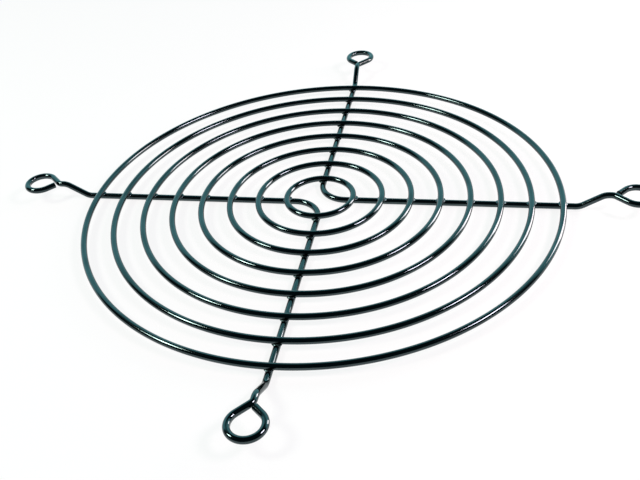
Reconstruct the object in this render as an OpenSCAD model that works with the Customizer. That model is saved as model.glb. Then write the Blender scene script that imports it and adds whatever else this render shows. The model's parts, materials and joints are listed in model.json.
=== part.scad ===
// Wire fan guard: concentric rings of round wire, resistance-welded on top of two bent spoke wires
// whose ends are curled into raised screw eyes. Millimetres, +Z up. The origin is at the centre of
// the rings, on the surface that the spoke wires lie on.

/* [Rings] */
// Number of concentric rings
ring_count = 8; // [3:1:8]
// Centreline radius of the innermost ring
first_ring_r = 8.2; // [8.2:0.1:9]
// Step in radius from one ring to the next
ring_pitch = 7.1; // [5:0.1:7.1]
// Diameter of the ring wire
ring_wire_d = 1.5; // [1.2:0.1:1.6]
// Depth by which each ring sinks into the spoke wires at its welds
weld_set_down = 0.3; // [0.1:0.05:0.4]

/* [Spoke wires] */
// Diameter of the spoke wire
spoke_wire_d = 1.5; // [1.2:0.1:1.6]
// Distance by which each straight arm passes the centre of the rings
arm_offset = 0.6; // [0:0.1:0.6]
// Centreline radius of the bend near the centre
hub_bend_r = 6.8; // [5:0.1:6.8]

/* [Screw eyes] */
// Spacing of the fan's four screw holes along X and along Y
hole_spacing = 105; // [105:0.5:110]
// Height of the eyes above the arms
eye_rise = 3.4; // [2.5:0.1:4.5]
// Slope of the step that lifts each arm to its eye
step_angle = 32; // [25:1:40]
// Centreline radius of the two bends of the step
step_bend_r = 3.4; // [2:0.1:3.5]
// Angle by which the neck turns aside before the loop
neck_angle = 42; // [38:1:45]
// Centreline radius of the neck's bend
neck_bend_r = 1.5; // [1.2:0.1:2]
// Straight wire between the step and the neck's bend
neck_lead = 0.4; // [0.2:0.1:1]
// Centreline radius of the loop
loop_r = 3.5; // [3:0.1:4]
// Depth of the flat band that the forming pin presses inside the loop
pin_flat = 0.08; // [0.05:0.01:0.1]
// Gap between the wire's cut end and the neck
end_gap = 0.45; // [0.2:0.05:0.8]

/* [Hidden] */
$fn = 96;
STEEL = "#8d979b";
LOOP_SWEEP = 270;
// A bend is drawn this much thinner than the straight wire and reaches this far into it at both
// ends, so that all the lengths of a wire join into one solid
BEND_THINNING = 0.01;
BEND_LAP = 0.05;
spoke_wire_r = spoke_wire_d / 2;
// Heights of the two layers of wire
arm_z = spoke_wire_r;
ring_z = spoke_wire_d + ring_wire_d / 2 - weld_set_down;
// Each arm is turned a little so that it points straight at its eye
eye_circle_r = hole_spacing / sqrt(2);
arm_turn = asin(arm_offset / eye_circle_r);
// Lengths along an arm, measured from the point where it passes the centre
eye_x = sqrt(pow(eye_circle_r, 2) - pow(arm_offset, 2));
neck_len = (loop_r * cos(neck_angle) - neck_bend_r * (1 - cos(neck_angle))) / sin(neck_angle);
neck_x = eye_x - (loop_r + neck_bend_r) * sin(neck_angle) - neck_len * cos(neck_angle);
slope_len = (eye_rise - 2 * step_bend_r * (1 - cos(step_angle))) / sin(step_angle);
step_x = neck_x - neck_lead - 2 * step_bend_r * sin(step_angle) - slope_len * cos(step_angle);
end_len = loop_r - spoke_wire_r - end_gap;
// Ways in which a bend can turn, as a roll about the wire's own axis
LEFT = 0;
UP = 90;
RIGHT = 180;
DOWN = -90;

function ring_r(i) = first_ring_r + ring_pitch * (i - 1);

// Straight length of spoke wire along +X; what follows it starts at its end
module straight(length) {
    rotate([0, 90, 0])
        cylinder(d = spoke_wire_d, h = length);
    translate([length, 0, 0])
        children();
}

// Bend in spoke wire that starts along +X; what follows it starts at its end
module bend(radius, sweep, way) {
    lap_angle = asin(BEND_LAP / radius);
    rotate([way, 0, 0]) {
        translate([0, radius, 0])
            rotate([0, 0, -90 - lap_angle])
                rotate_extrude(angle = sweep + 2 * lap_angle)
                    translate([radius, 0])
                        circle(d = spoke_wire_d - BEND_THINNING);
        translate([radius * sin(sweep), radius * (1 - cos(sweep)), 0])
            rotate([0, 0, sweep])
                rotate([-way, 0, 0])
                    children();
    }
}

// Ring wire number i at its welded height
module ring_wire(i) {
    translate([0, 0, ring_z])
        rotate_extrude()
            translate([ring_r(i), 0])
                circle(d = ring_wire_d);
}

// One arm along +X from start, with its step up, its neck, its loop and its cut end
module arm(start) {
    translate([start, arm_offset, arm_z])
        straight(step_x - start)
            bend(step_bend_r, step_angle, UP)
                straight(slope_len)
                    bend(step_bend_r, step_angle, DOWN)
                        straight(neck_lead)
                            bend(neck_bend_r, neck_angle, RIGHT)
                                straight(neck_len)
                                    bend(loop_r, LOOP_SWEEP, LEFT)
                                        straight(end_len);
}

// Clearance left by the forming pin inside an arm's loop
module pin_space() {
    translate([eye_x, arm_offset, arm_z + eye_rise - spoke_wire_d])
        cylinder(r = loop_r - spoke_wire_r + pin_flat, h = 2 * spoke_wire_d);
}

// Whole spoke wire with its arms along +X and +Y, before the rings are pressed into it
module bent_wire() {
    difference() {
        union() {
            arm(hub_bend_r - arm_offset);
            rotate([0, 0, 90])
                arm(hub_bend_r + arm_offset);
            translate([hub_bend_r - arm_offset, arm_offset, arm_z])
                rotate([0, 0, 180])
                    bend(hub_bend_r, 90, RIGHT);
        }
        pin_space();
        rotate([0, 0, 90])
            pin_space();
    }
}

// Spoke wire on the side that side_angle points at, with a seat for every ring it carries
module spoke_wire(side_angle) {
    color(STEEL)
        difference() {
            rotate([0, 0, side_angle - 45 - arm_turn])
                bent_wire();
            for (i = [1:ring_count])
                ring_wire(i);
        }
}

module left_spoke_wire() {
    spoke_wire(180);
}

module right_spoke_wire() {
    spoke_wire(0);
}

module ring(i) {
    color(STEEL)
        ring_wire(i);
}

for (i = [1:ring_count])
    ring(i);
left_spoke_wire();
right_spoke_wire();
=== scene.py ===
"""Looks of a wire fan guard: eight rings of round wire resistance-welded on two bent spoke wires.

Sizes of the guard in the dataclass fields are in millimetres, and meshes are made in metres. The
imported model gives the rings' sizes, the wires' thickness and every piece's place. What it doesn't
state, such as the radii that the spoke wires are bent to, is a named value of the class that uses
it. The studio's distances are in metres.
"""

import json
import logging
import math
from dataclasses import dataclass, field
from enum import Enum

import bpy
from mathutils import Matrix, Vector


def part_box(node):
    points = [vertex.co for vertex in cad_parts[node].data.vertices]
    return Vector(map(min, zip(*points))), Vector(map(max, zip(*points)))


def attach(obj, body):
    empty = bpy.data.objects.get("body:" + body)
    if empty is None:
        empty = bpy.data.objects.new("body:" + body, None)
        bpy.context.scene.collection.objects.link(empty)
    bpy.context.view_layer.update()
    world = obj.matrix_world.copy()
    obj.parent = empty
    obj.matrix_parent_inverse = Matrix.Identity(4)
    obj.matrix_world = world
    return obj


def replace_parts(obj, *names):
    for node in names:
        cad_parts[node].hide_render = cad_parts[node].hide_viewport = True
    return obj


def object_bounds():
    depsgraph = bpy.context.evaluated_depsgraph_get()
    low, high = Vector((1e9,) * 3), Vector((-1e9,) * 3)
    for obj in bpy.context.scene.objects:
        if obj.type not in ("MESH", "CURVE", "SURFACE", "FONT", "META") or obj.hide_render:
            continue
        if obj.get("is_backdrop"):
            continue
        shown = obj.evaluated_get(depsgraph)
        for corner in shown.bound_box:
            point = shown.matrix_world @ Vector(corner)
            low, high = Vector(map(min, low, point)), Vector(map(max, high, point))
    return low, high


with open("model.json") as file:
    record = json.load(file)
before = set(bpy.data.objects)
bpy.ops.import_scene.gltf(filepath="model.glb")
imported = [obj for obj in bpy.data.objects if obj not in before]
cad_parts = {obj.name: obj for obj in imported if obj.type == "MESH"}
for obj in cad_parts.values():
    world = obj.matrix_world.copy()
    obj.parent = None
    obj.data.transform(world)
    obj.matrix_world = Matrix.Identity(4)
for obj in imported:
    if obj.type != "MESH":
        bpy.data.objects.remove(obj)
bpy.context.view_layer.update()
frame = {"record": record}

MM = 0.001
ROOT_BODY = "root"
# Direction of a screw hole from the centre, and from one hole to the next, in degrees
DIAGONAL = 45
QUARTER = 90

log = logging.getLogger("wire_fan_guard")

InputValue = bpy.types.NodeSocket | bpy.types.Material | float | int | bool | tuple


def linear_colour(hex_colour: str) -> tuple[float, float, float, float]:
    """Turns an sRGB colour into linear light.

    Args:
        hex_colour: Six hex digits after a number sign.

    Returns:
        Linear red, green, blue and an alpha of 1.
    """
    channels = [int(hex_colour[i : i + 2], 16) / 255 for i in (1, 3, 5)]
    red, green, blue = (
        c / 12.92 if c <= 0.04045 else ((c + 0.055) / 1.055) ** 2.4 for c in channels
    )
    return red, green, blue, 1.0


def add_node(
    tree: bpy.types.NodeTree,
    kind: str,
    inputs: dict[str | int, InputValue] | None = None,
    **settings: object,
) -> bpy.types.Node:
    """Adds a node with its settings, its input values and its links.

    Args:
        tree: Node tree that gets the node.
        kind: Blender's type name of the node.
        inputs: A value, or another node's output to link, for each input's name or number.
        **settings: The node's own settings, such as its operation.

    Returns:
        The new node.
    """
    node = tree.nodes.new(kind)
    for name, setting in settings.items():
        setattr(node, name, setting)
    for name, given in (inputs or {}).items():
        if isinstance(given, bpy.types.NodeSocket):
            tree.links.new(given, node.inputs[name])
        else:
            node.inputs[name].default_value = given
    return node


def empty_tree(owner: bpy.types.Material | bpy.types.World) -> bpy.types.NodeTree:
    """Gives a material or a world its own nodes, with none in it yet.

    Args:
        owner: The material or the world.

    Returns:
        Its empty node tree.
    """
    owner.use_nodes = True
    owner.node_tree.nodes.clear()
    return owner.node_tree


def add_object(name: str, data: bpy.types.ID) -> bpy.types.Object:
    """Adds an object to the scene.

    Args:
        name: Name of the object.
        data: Its mesh, lamp or camera.

    Returns:
        The new object, at the origin.
    """
    added = bpy.data.objects.new(name, data)
    bpy.context.scene.collection.objects.link(added)
    return added


class SocketKind(Enum):
    """Kinds of input that the geometry trees take."""

    GEOMETRY = "NodeSocketGeometry"
    SIZE = "NodeSocketFloat"
    COUNT = "NodeSocketInt"
    PLACE = "NodeSocketVector"
    FINISH = "NodeSocketMaterial"


@dataclass
class GeometryTree:
    """A geometry tree with named inputs, which shapes one piece.

    Attributes:
        name: Name of the tree and of what it makes.
        inputs: Kind of each input after the geometry, by its name.
        tree: The node tree itself.
        given: The node that holds the inputs' values.
    """

    name: str
    inputs: dict[str, SocketKind]
    tree: bpy.types.NodeTree = field(init=False)
    given: bpy.types.Node = field(init=False)

    def __post_init__(self) -> None:
        """Makes the empty tree with its inputs and its output."""
        self.tree = bpy.data.node_groups.new(self.name, "GeometryNodeTree")
        sockets = {"Geometry": SocketKind.GEOMETRY, **self.inputs}
        for title, kind in sockets.items():
            self.tree.interface.new_socket(title, in_out="INPUT", socket_type=kind.value)
        self.tree.interface.new_socket(
            "Geometry", in_out="OUTPUT", socket_type=SocketKind.GEOMETRY.value
        )
        self.given = self.add("NodeGroupInput")

    def add(
        self, kind: str, inputs: dict[str | int, InputValue] | None = None, **settings: object
    ) -> bpy.types.Node:
        """Adds a node to this tree, as add_node does."""
        return add_node(self.tree, kind, inputs, **settings)

    def finish(self, geometry: bpy.types.NodeSocket, finish: bpy.types.NodeSocket) -> None:
        """Ends the tree: instances become real, and everything gets its material.

        Args:
            geometry: What the tree has made.
            finish: The input that holds the material.
        """
        real = self.add("GeometryNodeRealizeInstances", {"Geometry": geometry})
        dressed = self.add(
            "GeometryNodeSetMaterial", {"Geometry": real.outputs[0], "Material": finish}
        )
        self.add("NodeGroupOutput", {"Geometry": dressed.outputs[0]})

    def apply(
        self, piece: str, start: bpy.types.Mesh, values: dict[str, InputValue]
    ) -> bpy.types.Object:
        """Runs the tree once and keeps its result as a plain mesh.

        Args:
            piece: Name of the new object.
            start: Mesh that the tree starts from, such as a line of points.
            values: The value of each named input.

        Returns:
            An object with the finished mesh and no modifier.
        """
        base = add_object(f"{piece}_base", start)
        modifier = base.modifiers.new(self.name, "NODES")
        modifier.node_group = self.tree
        identifiers = {
            item.name: item.identifier
            for item in self.tree.interface.items_tree
            if item.item_type == "SOCKET" and item.in_out == "INPUT"
        }
        for title, value in values.items():
            modifier[identifiers[title]] = value
        depsgraph = bpy.context.evaluated_depsgraph_get()
        mesh = bpy.data.meshes.new_from_object(
            base.evaluated_get(depsgraph), preserve_all_data_layers=True, depsgraph=depsgraph
        )
        mesh.name = piece
        base.modifiers.remove(modifier)
        bpy.data.objects.remove(base)
        return add_object(piece, mesh)


def line_mesh(name: str, points: list[Vector], gauges: list[float]) -> bpy.types.Mesh:
    """Makes an open line of points, in metres.

    Args:
        name: Name of the mesh.
        points: The line's points in millimetres.
        gauges: The wire's thickness at each point, as a share of its full one.

    Returns:
        A mesh of points and edges, with the thickness kept at each point.
    """
    mesh = bpy.data.meshes.new(name)
    edges = [(i, i + 1) for i in range(len(points) - 1)]
    mesh.from_pydata([p * MM for p in points], edges, [])
    gauge = mesh.attributes.new("gauge", "FLOAT", "POINT")
    gauge.data.foreach_set("value", gauges)
    return mesh


# ---------------------------------------------------------------------------------------------
# Finishes
# ---------------------------------------------------------------------------------------------


@dataclass(frozen=True)
class PlatedWireFinish:
    """Nickel-chrome plating on drawn and straightened steel wire, given painted shade: its colour
    is far darker than bright chrome and tinted teal, standing in for the dark surroundings that the
    real wire mirrors.

    It mirrors the room sharply, and that painted-dark colour dims what it mirrors, so a wire shows
    a near-black or teal core, grey rims where it mirrors the white bench, and short hard glints.
    The die leaves faint lines along the wire, the straightening rolls leave it very slightly wavy,
    and the plating is a little cloudy.

    Attributes:
        name: Name of the material.
        bright: Colour of clean plating, painted far darker than chrome as painted shade.
        cloudy: Colour where the plating is thin, painted dark in the same way.
        roughness_low: Roughness of clean plating.
        roughness_high: Roughness of cloudy plating.
        cloud_mm: Length of a cloudy patch along the wire, and its width round the wire.
        cloud_edge: Values of the cloud noise at which clean plating ends and cloudy plating begins.
        line_mm: Length of a die line, and its spacing round the wire. Real lines are a few
            hundredths apart, too fine to show, so these are several times as coarse.
        line_depth_mm: Depth of the die lines.
        wave_mm: Length of the waves that straightening leaves along the wire.
        wave_width_mm: Width of the waves round the wire.
        wave_depth_mm: Depth of those waves.
    """

    name: str
    # Both plating colours are painted shade: far darker than chrome, standing in for the dark
    # surroundings that the real wire mirrors
    bright: str = "#444f51"
    cloudy: str = "#384244"
    roughness_low: float = 0.06
    roughness_high: float = 0.14
    cloud_mm: tuple[float, float] = (6.0, 1.2)
    cloud_edge: tuple[float, float] = (0.42, 0.68)
    line_mm: tuple[float, float] = (40.0, 0.22)
    line_depth_mm: float = 0.0003
    wave_mm: float = 3.0
    wave_width_mm: float = 1.5
    wave_depth_mm: float = 0.012

    def build(self) -> bpy.types.Material:
        """Makes the material. It reads the wire's own lengths from the drawn_mm attribute.

        Returns:
            The material of a rolled and plated wire.
        """
        material = bpy.data.materials.new(self.name)
        tree = empty_tree(material)
        drawn = add_node(tree, "ShaderNodeAttribute", attribute_name="drawn_mm").outputs["Vector"]

        def noise(along_mm: float, across_mm: float, detail: float) -> bpy.types.NodeSocket:
            """Adds noise that follows the wire.

            Args:
                along_mm: Length of its grains along the wire.
                across_mm: Their width round the wire.
                detail: How many finer layers of noise it holds.

            Returns:
                The noise's value.
            """
            place = add_node(
                tree,
                "ShaderNodeMapping",
                {"Vector": drawn, "Scale": (1 / along_mm, 1 / across_mm, 1 / across_mm)},
            )
            return add_node(
                tree,
                "ShaderNodeTexNoise",
                {"Vector": place.outputs[0], "Scale": 1.0, "Detail": detail, "Roughness": 0.55},
            ).outputs["Fac"]

        clouds = add_node(
            tree,
            "ShaderNodeMapRange",
            {
                "Value": noise(*self.cloud_mm, detail=4.0),
                "From Min": self.cloud_edge[0],
                "From Max": self.cloud_edge[1],
            },
        ).outputs["Result"]
        colour = add_node(
            tree,
            "ShaderNodeMix",
            {"Factor": clouds, 6: linear_colour(self.bright), 7: linear_colour(self.cloudy)},
            data_type="RGBA",
        ).outputs[2]
        roughness = add_node(
            tree,
            "ShaderNodeMapRange",
            {"Value": clouds, "To Min": self.roughness_low, "To Max": self.roughness_high},
        ).outputs["Result"]
        waves = add_node(
            tree,
            "ShaderNodeBump",
            {
                "Height": noise(self.wave_mm, self.wave_width_mm, detail=2.0),
                "Distance": self.wave_depth_mm * MM,
                "Strength": 1.0,
            },
        ).outputs["Normal"]
        lines = add_node(
            tree,
            "ShaderNodeBump",
            {
                "Height": noise(*self.line_mm, detail=3.0),
                "Distance": self.line_depth_mm * MM,
                "Strength": 1.0,
                "Normal": waves,
            },
        ).outputs["Normal"]
        plating = add_node(
            tree,
            "ShaderNodeBsdfPrincipled",
            {"Base Color": colour, "Metallic": 1.0, "Roughness": roughness, "Normal": lines},
        )
        add_node(tree, "ShaderNodeOutputMaterial", {"Surface": plating.outputs[0]})
        return material


@dataclass(frozen=True)
class WeldFlashFinish:
    """Plating over the flash of a resistance weld: the same metal, rough and a little darker.

    Like the wire's, its colours are painted far darker than chrome, as painted shade for the dark
    surroundings it mirrors.

    Attributes:
        name: Name of the material.
        bright: Colour of the plating on the crests.
        dull: Colour in the pits.
        grain_mm: Size of the grains that the squeezed-out metal leaves.
        grain_depth_mm: Height of the grains.
        grain_share: Share of that height at which the plating still follows the grains.
        pit_roughness: Roughness of the pits.
        crest_roughness: Roughness of the crests.
    """

    name: str = "plated_weld_flash"
    # Painted shade: like the wire's, these colours are far darker than chrome
    bright: str = "#56676a"
    dull: str = "#2c3a3c"
    grain_mm: float = 0.18
    grain_depth_mm: float = 0.03
    grain_share: float = 0.6
    pit_roughness: float = 0.42
    crest_roughness: float = 0.24

    def build(self) -> bpy.types.Material:
        """Makes the material, on object coordinates.

        Returns:
            The material of a plated weld.
        """
        material = bpy.data.materials.new(self.name)
        tree = empty_tree(material)
        place = add_node(tree, "ShaderNodeTexCoord").outputs["Object"]
        grain = add_node(
            tree,
            "ShaderNodeTexNoise",
            {"Vector": place, "Scale": 1 / (self.grain_mm * MM), "Detail": 3.0},
        ).outputs["Fac"]
        colour = add_node(
            tree,
            "ShaderNodeMix",
            {"Factor": grain, 6: linear_colour(self.dull), 7: linear_colour(self.bright)},
            data_type="RGBA",
        ).outputs[2]
        bump = add_node(
            tree,
            "ShaderNodeBump",
            {
                "Height": grain,
                "Distance": self.grain_depth_mm * MM,
                "Strength": self.grain_share,
            },
        ).outputs["Normal"]
        roughness = add_node(
            tree,
            "ShaderNodeMapRange",
            {"Value": grain, "To Min": self.pit_roughness, "To Max": self.crest_roughness},
        ).outputs["Result"]
        plating = add_node(
            tree,
            "ShaderNodeBsdfPrincipled",
            {"Base Color": colour, "Metallic": 1.0, "Roughness": roughness, "Normal": bump},
        )
        add_node(tree, "ShaderNodeOutputMaterial", {"Surface": plating.outputs[0]})
        return material


@dataclass(frozen=True)
class PaintedBoardFinish:
    """Matt white paint on board. The eye and the plating see its shadows softened.

    Attributes:
        name: Name of the material.
        colour: Colour of the paint.
        lit_share: Share of its white that the lamps give, and so how dark shadows may get.
    """

    name: str = "white_painted_board"
    colour: str = "#ffffff"
    lit_share: float = 0.14

    def build(self) -> bpy.types.Material:
        """Makes the material.

        Returns:
            The material of painted board.
        """
        material = bpy.data.materials.new(self.name)
        tree = empty_tree(material)
        colour = linear_colour(self.colour)
        board = add_node(tree, "ShaderNodeBsdfDiffuse", {"Color": colour})
        glow = add_node(tree, "ShaderNodeEmission", {"Color": colour, "Strength": 1.0})
        lifted = add_node(
            tree,
            "ShaderNodeMixShader",
            {0: 1 - self.lit_share, 1: board.outputs[0], 2: glow.outputs[0]},
        )
        ray = add_node(tree, "ShaderNodeLightPath").outputs
        seen = ray["Is Camera Ray"]
        for kind in ("Is Glossy Ray", "Is Transmission Ray"):
            seen = add_node(
                tree, "ShaderNodeMath", {0: seen, 1: ray[kind]}, operation="MAXIMUM"
            ).outputs[0]
        surface = add_node(
            tree, "ShaderNodeMixShader", {0: seen, 1: board.outputs[0], 2: lifted.outputs[0]}
        )
        add_node(tree, "ShaderNodeOutputMaterial", {"Surface": surface.outputs[0]})
        return material


# ---------------------------------------------------------------------------------------------
# Wires
# ---------------------------------------------------------------------------------------------


class Turn(Enum):
    """Way in which a bend turns, as a roll in degrees about the wire's own axis."""

    LEFT = 0
    UP = 90
    RIGHT = 180
    DOWN = -90


@dataclass
class BentLine:
    """Centreline of a wire, laid down bend by bend from its current end.

    Attributes:
        place: Where the end is, with X along the wire and Z up. Millimetres.
        step_mm: Longest step along a bend.
        fewest_steps: Fewest steps in a bend.
        points: The points laid down so far.
    """

    place: Matrix
    step_mm: float = 0.22
    fewest_steps: int = 4
    points: list[Vector] = field(default_factory=list)

    def __post_init__(self) -> None:
        """Starts the line at its place."""
        self.points.append(self.place.translation.copy())

    def straight(self, length: float) -> None:
        """Lays down a straight length."""
        self.place = self.place @ Matrix.Translation((length, 0, 0))
        self.points.append(self.place.translation.copy())

    def bend(self, radius: float, sweep: float, turn: Turn) -> None:
        """Lays down a round bend.

        Args:
            radius: Radius of the centreline.
            sweep: Angle that the wire turns through, in degrees.
            turn: Way in which it turns.
        """
        roll = Matrix.Rotation(math.radians(turn.value), 4, "X")
        steps = max(self.fewest_steps, math.ceil(math.radians(sweep) * radius / self.step_mm))
        for step in range(1, steps + 1):
            angle = math.radians(sweep) * step / steps
            moved = Matrix.Translation(
                (radius * math.sin(angle), radius * (1 - math.cos(angle)), 0)
            )
            here = self.place @ roll @ moved @ Matrix.Rotation(angle, 4, "Z") @ roll.inverted()
            self.points.append(here.translation.copy())
        self.place = here


@dataclass
class WireSweep:
    """The tree that draws round wire along a line, used for the rings and for the spoke wires.

    Attributes:
        sides: Number of faces round the wire.
        crease: Angle between two faces from which their edge stays sharp, in degrees.
    """

    sides: int = 24
    crease: float = 38.0

    def tree(self, name: str, closed: bool) -> GeometryTree:
        """Makes the tree.

        Args:
            name: Name of the tree.
            closed: True for a ring, which the tree draws by itself, and False for a wire with
                two ends, which follows the line that the tree is given.

        Returns:
            The tree, ready to be applied.
        """
        inputs = {"Wire Radius": SocketKind.SIZE, "Sides": SocketKind.COUNT}
        if closed:
            inputs |= {
                "Ring Radius": SocketKind.SIZE,
                "Steps": SocketKind.COUNT,
                "Height": SocketKind.SIZE,
                "Joint Angle": SocketKind.SIZE,
                "Joint Length": SocketKind.SIZE,
                "Joint Swelling": SocketKind.SIZE,
            }
        else:
            inputs |= {
                "First Eye": SocketKind.PLACE,
                "Second Eye": SocketKind.PLACE,
                "Pin Radius": SocketKind.SIZE,
            }
        made = GeometryTree(name, inputs | {"Finish": SocketKind.FINISH})
        given = made.given.outputs
        path = self.ring_path(made) if closed else self.line_path(made)
        length = made.add("GeometryNodeSplineParameter").outputs["Length"]
        path = made.add(
            "GeometryNodeStoreNamedAttribute",
            {"Geometry": path, "Name": "along", "Value": length},
            data_type="FLOAT",
        ).outputs[0]
        profile = made.add(
            "GeometryNodeCurvePrimitiveCircle",
            {"Resolution": given["Sides"], "Radius": given["Wire Radius"]},
        ).outputs[0]
        profile = made.add(
            "GeometryNodeStoreNamedAttribute",
            {
                "Geometry": profile,
                "Name": "across",
                "Value": made.add("GeometryNodeInputPosition").outputs[0],
            },
            data_type="FLOAT_VECTOR",
        ).outputs[0]
        wire = made.add(
            "GeometryNodeCurveToMesh",
            {"Curve": path, "Profile Curve": profile, "Fill Caps": not closed},
        ).outputs[0]
        wire = self.own_lengths(made, wire)
        if not closed:
            wire = self.pressed_by_pins(made, wire)
        angle = made.add("GeometryNodeInputMeshEdgeAngle").outputs["Unsigned Angle"]
        sharp = made.add(
            "ShaderNodeMath", {0: angle, 1: math.radians(self.crease)}, operation="GREATER_THAN"
        ).outputs[0]
        wire = made.add("GeometryNodeSetShadeSmooth", {"Geometry": wire}).outputs[0]
        wire = made.add(
            "GeometryNodeSetShadeSmooth",
            {"Geometry": wire, "Selection": sharp, "Shade Smooth": False},
            domain="EDGE",
        ).outputs[0]
        made.finish(wire, given["Finish"])
        return made

    def ring_path(self, made: GeometryTree) -> bpy.types.NodeSocket:
        """Draws a ring's centreline, a little thicker where its two ends are butt-welded.

        Args:
            made: The tree of a closed ring.

        Returns:
            The curve.
        """
        given = made.given.outputs
        circle = made.add(
            "GeometryNodeCurvePrimitiveCircle",
            {"Resolution": given["Steps"], "Radius": given["Ring Radius"]},
        ).outputs[0]
        away = made.add("GeometryNodeSplineParameter").outputs["Length"]
        whole = made.add(
            "ShaderNodeMath", {0: given["Ring Radius"], 1: math.tau}, operation="MULTIPLY"
        ).outputs[0]
        back = made.add("ShaderNodeMath", {0: whole, 1: away}, operation="SUBTRACT").outputs[0]
        near = made.add("ShaderNodeMath", {0: away, 1: back}, operation="MINIMUM").outputs[0]
        share = made.add(
            "ShaderNodeMath", {0: near, 1: given["Joint Length"]}, operation="DIVIDE"
        ).outputs[0]
        minus = made.add("ShaderNodeMath", {0: share, 1: -1.0}, operation="MULTIPLY").outputs[0]
        faded = made.add("ShaderNodeMath", {0: share, 1: minus}, operation="MULTIPLY").outputs[0]
        swelling = made.add("ShaderNodeMath", {0: faded}, operation="EXPONENT").outputs[0]
        gauge = made.add(
            "ShaderNodeMath",
            {0: swelling, 1: given["Joint Swelling"], 2: 1.0},
            operation="MULTIPLY_ADD",
        ).outputs[0]
        circle = made.add(
            "GeometryNodeSetCurveRadius", {"Curve": circle, "Radius": gauge}
        ).outputs[0]
        return made.add(
            "GeometryNodeTransform",
            {
                "Geometry": circle,
                "Translation": made.add(
                    "ShaderNodeCombineXYZ", {"Z": given["Height"]}
                ).outputs[0],
                "Rotation": made.add(
                    "ShaderNodeCombineXYZ", {"Z": given["Joint Angle"]}
                ).outputs[0],
            },
        ).outputs[0]

    def line_path(self, made: GeometryTree) -> bpy.types.NodeSocket:
        """Turns the given line into a curve that keeps the thickness at each point.

        Args:
            made: The tree of a wire with two ends.

        Returns:
            The curve.
        """
        curve = made.add(
            "GeometryNodeMeshToCurve", {"Mesh": made.given.outputs["Geometry"]}
        ).outputs[0]
        gauge = made.add(
            "GeometryNodeInputNamedAttribute", {"Name": "gauge"}, data_type="FLOAT"
        ).outputs["Attribute"]
        return made.add("GeometryNodeSetCurveRadius", {"Curve": curve, "Radius": gauge}).outputs[0]

    def own_lengths(
        self, made: GeometryTree, wire: bpy.types.NodeSocket
    ) -> bpy.types.NodeSocket:
        """Keeps each point's place on the drawn wire, which the finish reads as drawn_mm.

        Args:
            made: The tree.
            wire: The mesh of the wire, with what was stored on its curves.

        Returns:
            The mesh, with millimetres along the wire and two across it stored at each point.
        """
        along = made.add(
            "GeometryNodeInputNamedAttribute", {"Name": "along"}, data_type="FLOAT"
        ).outputs["Attribute"]
        across = made.add(
            "GeometryNodeInputNamedAttribute", {"Name": "across"}, data_type="FLOAT_VECTOR"
        ).outputs["Attribute"]
        parts = made.add("ShaderNodeSeparateXYZ", {0: across}).outputs
        place = made.add("ShaderNodeCombineXYZ", {"X": along, "Y": parts["X"], "Z": parts["Y"]})
        scaled = made.add(
            "ShaderNodeVectorMath", {0: place.outputs[0], "Scale": 1 / MM}, operation="SCALE"
        )
        wire = made.add(
            "GeometryNodeStoreNamedAttribute",
            {"Geometry": wire, "Name": "drawn_mm", "Value": scaled.outputs[0]},
            data_type="FLOAT_VECTOR",
        ).outputs[0]
        for spent in ("along", "across", "gauge"):
            wire = made.add(
                "GeometryNodeRemoveAttribute", {"Geometry": wire, "Name": spent}
            ).outputs[0]
        return wire

    def pressed_by_pins(
        self, made: GeometryTree, wire: bpy.types.NodeSocket
    ) -> bpy.types.NodeSocket:
        """Presses the flat band that each forming pin leaves inside its eye.

        Args:
            made: The tree of a wire with two ends.
            wire: The mesh of the round wire.

        Returns:
            The mesh with its two eyes pressed.
        """
        given = made.given.outputs
        for eye in ("First Eye", "Second Eye"):
            position = made.add("GeometryNodeInputPosition").outputs[0]
            away = made.add(
                "ShaderNodeVectorMath", {0: position, 1: given[eye]}, operation="SUBTRACT"
            ).outputs[0]
            level = made.add(
                "ShaderNodeVectorMath", {0: away, 1: (1.0, 1.0, 0.0)}, operation="MULTIPLY"
            ).outputs[0]
            distance = made.add(
                "ShaderNodeVectorMath", {0: level}, operation="LENGTH"
            ).outputs["Value"]
            inside = made.add(
                "ShaderNodeMath", {0: given["Pin Radius"], 1: distance}, operation="SUBTRACT"
            ).outputs[0]
            short = made.add(
                "ShaderNodeMath", {0: inside, 1: 0.0}, operation="MAXIMUM"
            ).outputs[0]
            outward = made.add(
                "ShaderNodeVectorMath", {0: level}, operation="NORMALIZE"
            ).outputs[0]
            push = made.add(
                "ShaderNodeVectorMath", {0: outward, "Scale": short}, operation="SCALE"
            ).outputs[0]
            wire = made.add(
                "GeometryNodeSetPosition", {"Geometry": wire, "Offset": push}
            ).outputs[0]
        return wire


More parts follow.
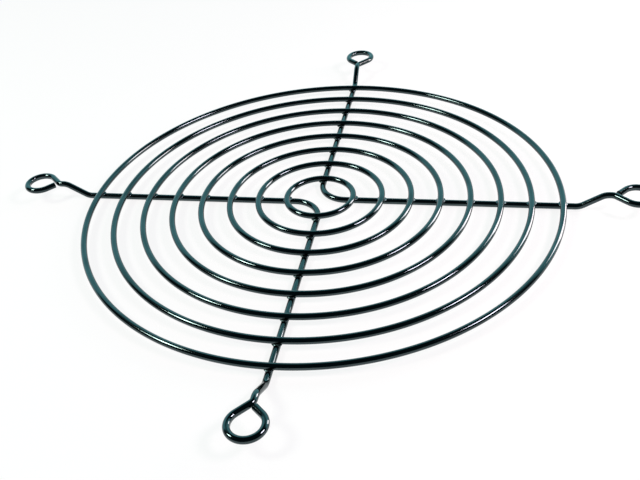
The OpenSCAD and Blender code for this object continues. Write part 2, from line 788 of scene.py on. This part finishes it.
@dataclass
class Rings:
    """The eight rings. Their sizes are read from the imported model.

    Attributes:
        finish: Plating of the rings.
        sweep: How round wire is drawn.
        count: How many rings there are.
        steps: Steps round a ring of no size, and how many more each ring has than the last.
        joint_length: Half the length of the swelling at a ring's butt weld.
        joint_swelling: How much thicker the wire is there, as a share.
        joint_from_arm: Distance along the ring from a spoke wire to the butt weld.
    """

    finish: PlatedWireFinish
    sweep: WireSweep
    count: int = 8
    steps: tuple[int, int] = (96, 24)
    joint_length: float = 0.45
    joint_swelling: float = 0.045
    joint_from_arm: float = 3.2

    def radius(self, number: int) -> float:
        """Centreline radius of ring number, in metres."""
        low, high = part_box(f"ring_{number}")
        return (high.x - low.x - (high.z - low.z)) / 2

    def build(self) -> list[bpy.types.Object]:
        """Makes the rings.

        Returns:
            One object for each ring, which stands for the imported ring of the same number.
        """
        tree = self.sweep.tree("closed_ring_wire", closed=True)
        material = self.finish.build()
        made = []
        for number in range(1, self.count + 1):
            node = f"ring_{number}"
            low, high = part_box(node)
            radius = self.radius(number)
            arm_angle = math.radians(DIAGONAL + QUARTER * (number % 2))
            ring = tree.apply(
                f"wire_{node}",
                bpy.data.meshes.new("nothing"),
                {
                    "Wire Radius": (high.z - low.z) / 2,
                    "Sides": self.sweep.sides,
                    "Ring Radius": radius,
                    "Steps": self.steps[0] + self.steps[1] * number,
                    "Height": (high.z + low.z) / 2,
                    "Joint Angle": arm_angle + self.joint_from_arm * MM / radius,
                    "Joint Length": self.joint_length * MM,
                    "Joint Swelling": self.joint_swelling,
                    "Finish": material,
                },
            )
            made.append(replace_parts(ring, node))
        return made


class Side(Enum):
    """The two spoke wires, by the direction that each one's pair of eyes faces, in degrees."""

    RIGHT = 0
    LEFT = 180


@dataclass
class SpokeWires:
    """The two spoke wires, each bent round beside the centre and curled into an eye at both ends.

    Attributes:
        finish: Plating of the wires.
        sweep: How round wire is drawn.
        arm_offset: Distance by which an arm passes the centre.
        hub_bend_r: Radius of the bend beside the centre.
        eye_rise: Height of the eyes above the arms.
        step_angle: Slope of the step up to an eye, in degrees.
        step_bend_r: Radius of the step's two bends.
        neck_lead: Straight length before the neck turns aside.
        neck_angle: Angle by which the neck turns aside, in degrees.
        neck_bend_r: Radius of the neck's bend.
        loop_r: Radius of the loop.
        loop_sweep: Angle that the loop goes round, in degrees.
        pin_flat: Depth of the band that the forming pin presses inside the loop.
        end_gap: Gap between the cut end and the neck.
        cut_round: Length over which the shears draw the cut end in.
        cut_share: Thickness at the very end, as a share.
        wire_r: Radius of the wire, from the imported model, as the next four are.
        arm_z: Height of the arms.
        eye_circle_r: Distance of the eyes from the centre.
        eye_x: Distance along an arm from its point nearest the centre to its eye.
        arm_turn: Turn that points an arm straight at its eye, in radians.
    """

    finish: PlatedWireFinish
    sweep: WireSweep
    arm_offset: float = 0.6
    hub_bend_r: float = 6.8
    eye_rise: float = 3.4
    step_angle: float = 32.0
    step_bend_r: float = 3.4
    neck_lead: float = 0.4
    neck_angle: float = 42.0
    neck_bend_r: float = 1.5
    loop_r: float = 3.5
    loop_sweep: float = 270.0
    pin_flat: float = 0.08
    end_gap: float = 0.45
    cut_round: float = 0.09
    cut_share: float = 0.9
    wire_r: float = field(init=False)
    arm_z: float = field(init=False)
    eye_circle_r: float = field(init=False)
    eye_x: float = field(init=False)
    arm_turn: float = field(init=False)

    def __post_init__(self) -> None:
        """Reads the wire's thickness and the eyes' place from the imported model."""
        low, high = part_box("left_spoke_wire")
        self.wire_r = ((high.z - low.z) / MM - self.eye_rise) / 2
        self.arm_z = low.z / MM + self.wire_r
        mounts = {mount["name"]: mount for mount in frame["record"]["mounts"]}
        eye = Vector(mounts["back_right_eye"]["pos_m"])
        self.eye_circle_r = math.hypot(eye.x, eye.y) / MM
        self.eye_x = math.sqrt(self.eye_circle_r**2 - self.arm_offset**2)
        self.arm_turn = math.asin(self.arm_offset / self.eye_circle_r)

    def step_x(self) -> float:
        """Works back from the eye to the place on an arm at which its step begins.

        Returns:
            Distance along the arm.
        """
        neck, step = math.radians(self.neck_angle), math.radians(self.step_angle)
        neck_x = (
            self.eye_x
            - (self.loop_r + self.neck_bend_r) * math.sin(neck)
            - self.neck_length() * math.cos(neck)
        )
        bends = 2 * self.step_bend_r * math.sin(step)
        return neck_x - self.neck_lead - bends - self.slope_length() * math.cos(step)

    def neck_length(self) -> float:
        """Works out how long the neck is, for a loop that ends up round the screw hole.

        Returns:
            Straight length between the neck's bend and the loop.
        """
        neck = math.radians(self.neck_angle)
        across = self.loop_r * math.cos(neck) - self.neck_bend_r * (1 - math.cos(neck))
        return across / math.sin(neck)

    def slope_length(self) -> float:
        """Straight length of the step's slope."""
        step = math.radians(self.step_angle)
        return (self.eye_rise - 2 * self.step_bend_r * (1 - math.cos(step))) / math.sin(step)

    def add_arm(self, line: BentLine, start: float) -> None:
        """Lays down an arm, its step, its neck, its loop and its cut end.

        Args:
            line: The line that gets them.
            start: Distance along the arm at which the line stands.
        """
        line.straight(self.step_x() - start)
        line.bend(self.step_bend_r, self.step_angle, Turn.UP)
        line.straight(self.slope_length())
        line.bend(self.step_bend_r, self.step_angle, Turn.DOWN)
        line.straight(self.neck_lead)
        line.bend(self.neck_bend_r, self.neck_angle, Turn.RIGHT)
        line.straight(self.neck_length())
        line.bend(self.loop_r, self.loop_sweep, Turn.LEFT)
        line.straight(self.loop_r - self.wire_r - self.end_gap - self.cut_round)
        line.straight(self.cut_round)

    def centreline(self, side: Side) -> list[Vector]:
        """Lays down a whole spoke wire, from one cut end to the other.

        Args:
            side: Side that the wire's two eyes face.

        Returns:
            Its points in millimetres.
        """
        turned = Matrix.Rotation(math.radians(side.value - DIAGONAL) - self.arm_turn, 4, "Z")
        start = Matrix.Translation((self.hub_bend_r - self.arm_offset, self.arm_offset, self.arm_z))
        first = BentLine(turned @ start)
        self.add_arm(first, self.hub_bend_r - self.arm_offset)
        second = BentLine(turned @ start @ Matrix.Rotation(math.pi, 4, "Z"))
        second.bend(self.hub_bend_r, QUARTER, Turn.RIGHT)
        self.add_arm(second, self.hub_bend_r + self.arm_offset)
        return list(reversed(first.points)) + second.points[1:]

    def eye_centre(self, side: Side, arm: int) -> Vector:
        """Centre of the eye on one of a wire's two arms, in metres."""
        angle = math.radians(side.value - DIAGONAL + QUARTER * arm)
        return Vector((math.cos(angle), math.sin(angle), 0)) * self.eye_circle_r * MM

    def build(self) -> list[bpy.types.Object]:
        """Makes the two spoke wires.

        Returns:
            One object for each wire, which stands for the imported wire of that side.
        """
        tree = self.sweep.tree("bent_spoke_wire", closed=False)
        material = self.finish.build()
        made = []
        for side in Side:
            node = f"{side.name.lower()}_spoke_wire"
            points = self.centreline(side)
            gauges = [1.0] * len(points)
            gauges[0] = gauges[-1] = self.cut_share
            wire = tree.apply(
                f"bent_{node}",
                line_mesh(f"{node}_line", points, gauges),
                {
                    "Wire Radius": self.wire_r * MM,
                    "Sides": self.sweep.sides,
                    "First Eye": self.eye_centre(side, 0),
                    "Second Eye": self.eye_centre(side, 1),
                    "Pin Radius": (self.loop_r - self.wire_r + self.pin_flat) * MM,
                    "Finish": material,
                },
            )
            made.append(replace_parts(wire, node))
        return made


@dataclass
class WeldFlash:
    """The collar of metal that each resistance weld squeezes out between a ring and an arm.

    Attributes:
        rings: The rings, which give the welds' distances from the centre.
        spokes: The spoke wires, which give the arms' lines.
        finish: Plating on the flash.
        reach: Half the collar's width.
        thickness: Half the collar's thickness.
        seed: Seed of the small differences between one weld and the next.
        ball: Segments and rings of the ball that each collar is pressed from.
        tilt: Most that a collar leans over, in radians.
        smallest: Least width, breadth and thickness of a collar, as shares.
        largest: Most width, breadth and thickness of a collar, as shares.
        lump_mm: Size of the lumps on a collar.
        lump_depth_mm: Height of the lumps.
    """

    rings: Rings
    spokes: SpokeWires
    finish: WeldFlashFinish
    reach: float = 1.2
    thickness: float = 0.34
    seed: int = 11
    ball: tuple[int, int] = (20, 10)
    tilt: float = 0.12
    smallest: tuple[float, float, float] = (0.9, 0.88, 0.8)
    largest: tuple[float, float, float] = (1.08, 1.12, 1.2)
    lump_mm: float = 0.625
    lump_depth_mm: float = 0.25

    def places(self) -> list[Vector]:
        """Finds where the rings cross the arms.

        Returns:
            Middle of each weld, in millimetres.
        """
        first_low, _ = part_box("ring_1")
        height = (first_low.z / MM + self.spokes.arm_z + self.spokes.wire_r) / 2
        across = self.spokes.arm_offset
        found = []
        for number in range(1, self.rings.count + 1):
            radius = self.rings.radius(number) / MM
            along = math.sqrt(radius**2 - across**2)
            for side in Side:
                for arm in (0, 1):
                    angle = math.radians(side.value - DIAGONAL + QUARTER * arm)
                    turned = Matrix.Rotation(angle - self.spokes.arm_turn, 3, "Z")
                    found.append(turned @ Vector((along, across, 0)) + Vector((0, 0, height)))
        return found

    def build(self) -> list[bpy.types.Object]:
        """Makes the flash of all the welds as one piece.

        Returns:
            A list of that one object.
        """
        made = GeometryTree(
            "weld_flash",
            {
                "Reach": SocketKind.SIZE,
                "Thickness": SocketKind.SIZE,
                "Seed": SocketKind.COUNT,
                "Finish": SocketKind.FINISH,
            },
        )
        given = made.given.outputs
        ball = made.add(
            "GeometryNodeMeshUVSphere",
            {"Segments": self.ball[0], "Rings": self.ball[1], "Radius": 1.0},
        ).outputs[0]
        size = made.add(
            "ShaderNodeCombineXYZ",
            {"X": given["Reach"], "Y": given["Reach"], "Z": given["Thickness"]},
        ).outputs[0]
        collar = made.add("GeometryNodeTransform", {"Geometry": ball, "Scale": size}).outputs[0]
        roll = made.add(
            "FunctionNodeRandomValue",
            {
                "Min": (0.0, 0.0, 0.0),
                "Max": (self.tilt, self.tilt, math.tau),
                "Seed": given["Seed"],
            },
            data_type="FLOAT_VECTOR",
        ).outputs[0]
        grown = made.add(
            "FunctionNodeRandomValue",
            {"Min": self.smallest, "Max": self.largest, "Seed": given["Seed"]},
            data_type="FLOAT_VECTOR",
        ).outputs[0]
        spread = made.add(
            "GeometryNodeInstanceOnPoints",
            {
                "Points": given["Geometry"],
                "Instance": collar,
                "Rotation": roll,
                "Scale": grown,
            },
        ).outputs[0]
        real = made.add("GeometryNodeRealizeInstances", {"Geometry": spread}).outputs[0]
        lumps = made.add(
            "ShaderNodeTexNoise", {"Scale": 1 / (self.lump_mm * MM), "Detail": 1.0}
        ).outputs["Fac"]
        normal = made.add("GeometryNodeInputNormal").outputs[0]
        raised = made.add("ShaderNodeMath", {0: lumps, 1: 0.5}, operation="SUBTRACT").outputs[0]
        height = made.add(
            "ShaderNodeMath", {0: raised, 1: self.lump_depth_mm * MM}, operation="MULTIPLY"
        ).outputs[0]
        push = made.add(
            "ShaderNodeVectorMath", {0: normal, "Scale": height}, operation="SCALE"
        ).outputs[0]
        lumpy = made.add("GeometryNodeSetPosition", {"Geometry": real, "Offset": push}).outputs[0]
        smooth = made.add("GeometryNodeSetShadeSmooth", {"Geometry": lumpy}).outputs[0]
        made.finish(smooth, given["Finish"])
        points = bpy.data.meshes.new("weld_places")
        points.from_pydata([p * MM for p in self.places()], [], [])
        flash = made.apply(
            "weld_flash",
            points,
            {
                "Reach": self.reach * MM,
                "Thickness": self.thickness * MM,
                "Seed": self.seed,
                "Finish": self.finish.build(),
            },
        )
        return [flash]


# ---------------------------------------------------------------------------------------------
# Studio
# ---------------------------------------------------------------------------------------------


def direction(azimuth: float, elevation: float) -> Vector:
    """Unit vector towards a place in the room.

    Args:
        azimuth: Counter-clockwise from +X seen from above, in degrees.
        elevation: Height above the bench, in degrees.

    Returns:
        The vector.
    """
    side, rise = math.radians(azimuth), math.radians(elevation)
    flat = math.cos(rise)
    return Vector((math.cos(side) * flat, math.sin(side) * flat, math.sin(rise)))


@dataclass
class Floor:
    """A white bench that keeps faint shadows and fills the view.

    Attributes:
        finish: Paint of the bench.
        half_width: Half the bench's width, in metres.
    """

    finish: PaintedBoardFinish
    half_width: float = 6.0

    def build(self) -> None:
        """Makes the bench under the lowest point of the guard."""
        low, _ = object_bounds()
        w = self.half_width
        mesh = bpy.data.meshes.new("bench")
        corners = [(-w, -w, low.z), (w, -w, low.z), (w, w, low.z), (-w, w, low.z)]
        mesh.from_pydata(corners, [], [(0, 1, 2, 3)])
        mesh.materials.append(self.finish.build())
        add_object("bench", mesh)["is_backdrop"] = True


@dataclass(frozen=True)
class SoftLamp:
    """A soft box that points at the middle of the rings.

    Attributes:
        name: Name of the lamp.
        colour: Colour of its light.
        azimuth: Direction it stands in, counter-clockwise from +X seen from above, in degrees.
        elevation: Its height above the bench, in degrees.
        distance: Its distance, in metres.
        face: Width and height of its face, in metres.
        share: Its share of the light on the bench.
    """

    name: str
    colour: str
    azimuth: float
    elevation: float
    distance: float
    face: tuple[float, float]
    share: float

    def build(self) -> None:
        """Makes the lamp, strong enough to give the bench its share of plain white light."""
        towards = direction(self.azimuth, self.elevation)
        lamp = bpy.data.lights.new(self.name, "AREA")
        lamp.shape = "RECTANGLE"
        lamp.size, lamp.size_y = self.face
        lamp.color = linear_colour(self.colour)[:3]
        # A white board that squarely faces a lamp shows its power over (pi * distance) squared
        lamp.energy = self.share * (math.pi * self.distance) ** 2 / towards.z
        placed = add_object(self.name, lamp)
        placed.location = towards * self.distance
        placed.rotation_euler = towards.to_track_quat("Z", "Y").to_euler()


@dataclass
class Studio:
    """A dark room with one broad pale teal wall, and the soft lamps.

    The wires mirror the room, the wall and the lamps, and over their lower halves the white bench.
    The eye sees the same room past the edge of the bench.

    Attributes:
        horizon: Colour of the wall at eye level.
        wall: Colour of the wall at its full height.
        overhead: Colour of the room above and on the other sides.
        wall_height: Sine of the elevation up to which the wall reaches at full strength.
        wall_top: Sine of the elevation at which it has faded into the dark above.
        dark_side: Azimuth opposite the middle of the wall, in degrees.
        dark_rise: Elevation of the same direction, which draws the wall's upper corners in.
        wall_end: Where the wall begins to fade at its two ends, as a cosine from the dark side.
        dark_end: Where it has faded into the dark, in the same way.
        room_light: Strength of the room's light.
        lamps: The soft lamps.
    """

    horizon: str = "#b4f8ff"
    wall: str = "#a6f4fb"
    overhead: str = "#122a30"
    wall_height: float = 0.58
    wall_top: float = 0.84
    dark_side: float = 230.5
    dark_rise: float = 18.4
    wall_end: float = -0.29
    dark_end: float = -0.09
    room_light: float = 1.4
    lamps: tuple[SoftLamp, ...] = (
        SoftLamp("left_lamp", "#fbfff0", 152.0, 43.0, 0.45, (0.09, 0.1), 0.36),
        SoftLamp("right_lamp", "#ffe1ec", 310.0, 41.0, 0.4, (0.115, 0.075), 0.46),
        SoftLamp("side_card", "#ffdddc", 346.0, 14.0, 0.18, (0.052, 0.11), 0.24),
    )

    def build(self) -> None:
        """Makes the world and the lamps."""
        for lamp in self.lamps:
            lamp.build()
        world = bpy.data.worlds.new("dark_room")
        bpy.context.scene.world = world
        tree = empty_tree(world)
        way = add_node(tree, "ShaderNodeTexCoord").outputs["Generated"]
        height = add_node(tree, "ShaderNodeSeparateXYZ", {0: way}).outputs["Z"]
        rise = add_node(
            tree,
            "ShaderNodeMapRange",
            {"Value": height, "From Min": self.wall_height, "From Max": self.wall_top},
            interpolation_type="SMOOTHSTEP",
        ).outputs["Result"]
        low = add_node(
            tree, "ShaderNodeMapRange", {"Value": height, "From Max": self.wall_height}
        ).outputs["Result"]
        wall = add_node(
            tree,
            "ShaderNodeMix",
            {"Factor": low, 6: linear_colour(self.horizon), 7: linear_colour(self.wall)},
            data_type="RGBA",
        ).outputs[2]
        behind = add_node(
            tree,
            "ShaderNodeVectorMath",
            {0: way, 1: direction(self.dark_side, self.dark_rise)},
            operation="DOT_PRODUCT",
        ).outputs["Value"]
        near = add_node(
            tree,
            "ShaderNodeMapRange",
            {"Value": behind, "From Min": self.wall_end, "From Max": self.dark_end},
            interpolation_type="SMOOTHSTEP",
        ).outputs["Result"]
        dark = add_node(
            tree, "ShaderNodeMath", {0: rise, 1: near}, operation="MAXIMUM"
        ).outputs[0]
        colour = add_node(
            tree,
            "ShaderNodeMix",
            {"Factor": dark, 6: wall, 7: linear_colour(self.overhead)},
            data_type="RGBA",
        ).outputs[2]
        room = add_node(
            tree, "ShaderNodeBackground", {"Color": colour, "Strength": self.room_light}
        )
        add_node(tree, "ShaderNodeOutputWorld", {"Surface": room.outputs[0]})


@dataclass
class Viewpoint:
    """The camera, close above the guard and a little to its left.

    Attributes:
        lens: Focal length, in millimetres.
        distance: Distance from the centre of the rings, in millimetres.
        heading: Horizontal direction of the look, counter-clockwise from +X, in degrees.
        elevation: Height of the camera seen from the centre of the rings, in degrees.
        pan: Turn to the right of the centre, in degrees.
        tilt: Turn up from the centre, in degrees.
        roll: Roll of the camera about its own line of sight, in degrees.
        sensor: Width of the sensor, in millimetres.
        nearest: Distance from which the camera sees, in metres.
    """

    lens: float = 46.889
    distance: float = 205.92
    heading: float = 58.5
    elevation: float = 33.806
    pan: float = 0.3237
    tilt: float = -2.9637
    roll: float = -6.308
    sensor: float = 36.0
    nearest: float = 0.01

    def build(self) -> None:
        """Makes the camera and gives it to the scene."""
        low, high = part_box("ring_1")
        centre = Vector((0, 0, (low.z + high.z) / 2))
        flat = math.radians(self.heading)
        ahead = Vector((math.cos(flat), math.sin(flat), 0))
        right = Vector((math.sin(flat), -math.cos(flat), 0))
        up = Vector((0, 0, 1))
        rise = math.radians(self.elevation)
        sight = ahead * math.cos(rise) - up * math.sin(rise)
        top = ahead * math.sin(rise) + up * math.cos(rise)
        location = centre - sight * self.distance * MM
        pan, tilt, roll = (math.radians(a) for a in (self.pan, self.tilt, self.roll))
        panned_right = right * math.cos(pan) + sight * math.sin(pan)
        panned_sight = sight * math.cos(pan) - right * math.sin(pan)
        tilted_up = top * math.cos(tilt) - panned_sight * math.sin(tilt)
        tilted_sight = top * math.sin(tilt) + panned_sight * math.cos(tilt)
        camera_right = panned_right * math.cos(roll) + tilted_up * math.sin(roll)
        camera_up = tilted_up * math.cos(roll) - panned_right * math.sin(roll)
        turned = Matrix((camera_right, camera_up, -tilted_sight)).transposed().to_4x4()
        data = bpy.data.cameras.new("camera")
        data.lens = self.lens
        data.sensor_width = self.sensor
        data.clip_start = self.nearest
        camera = add_object("camera", data)
        camera.matrix_world = Matrix.Translation(location) @ turned
        bpy.context.scene.camera = camera


def main() -> None:
    """Builds the guard's pieces in order, then the studio."""
    logging.basicConfig(level=logging.INFO, format="%(name)s: %(message)s")
    Viewpoint().build()
    sweep = WireSweep()
    rings = Rings(PlatedWireFinish("nickel_plated_ring_wire"), sweep)
    spokes = SpokeWires(
        PlatedWireFinish("nickel_plated_spoke_wire", wave_mm=2.4, wave_depth_mm=0.03), sweep
    )
    for assembly in (rings, spokes, WeldFlash(rings, spokes, WeldFlashFinish())):
        for piece in assembly.build():
            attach(piece, ROOT_BODY)
            log.info("%s: %d faces", piece.name, len(piece.data.polygons))
    Floor(PaintedBoardFinish()).build()
    Studio().build()
    bpy.context.scene.view_settings.view_transform = "Standard"


if __name__ == "__main__":
    main()
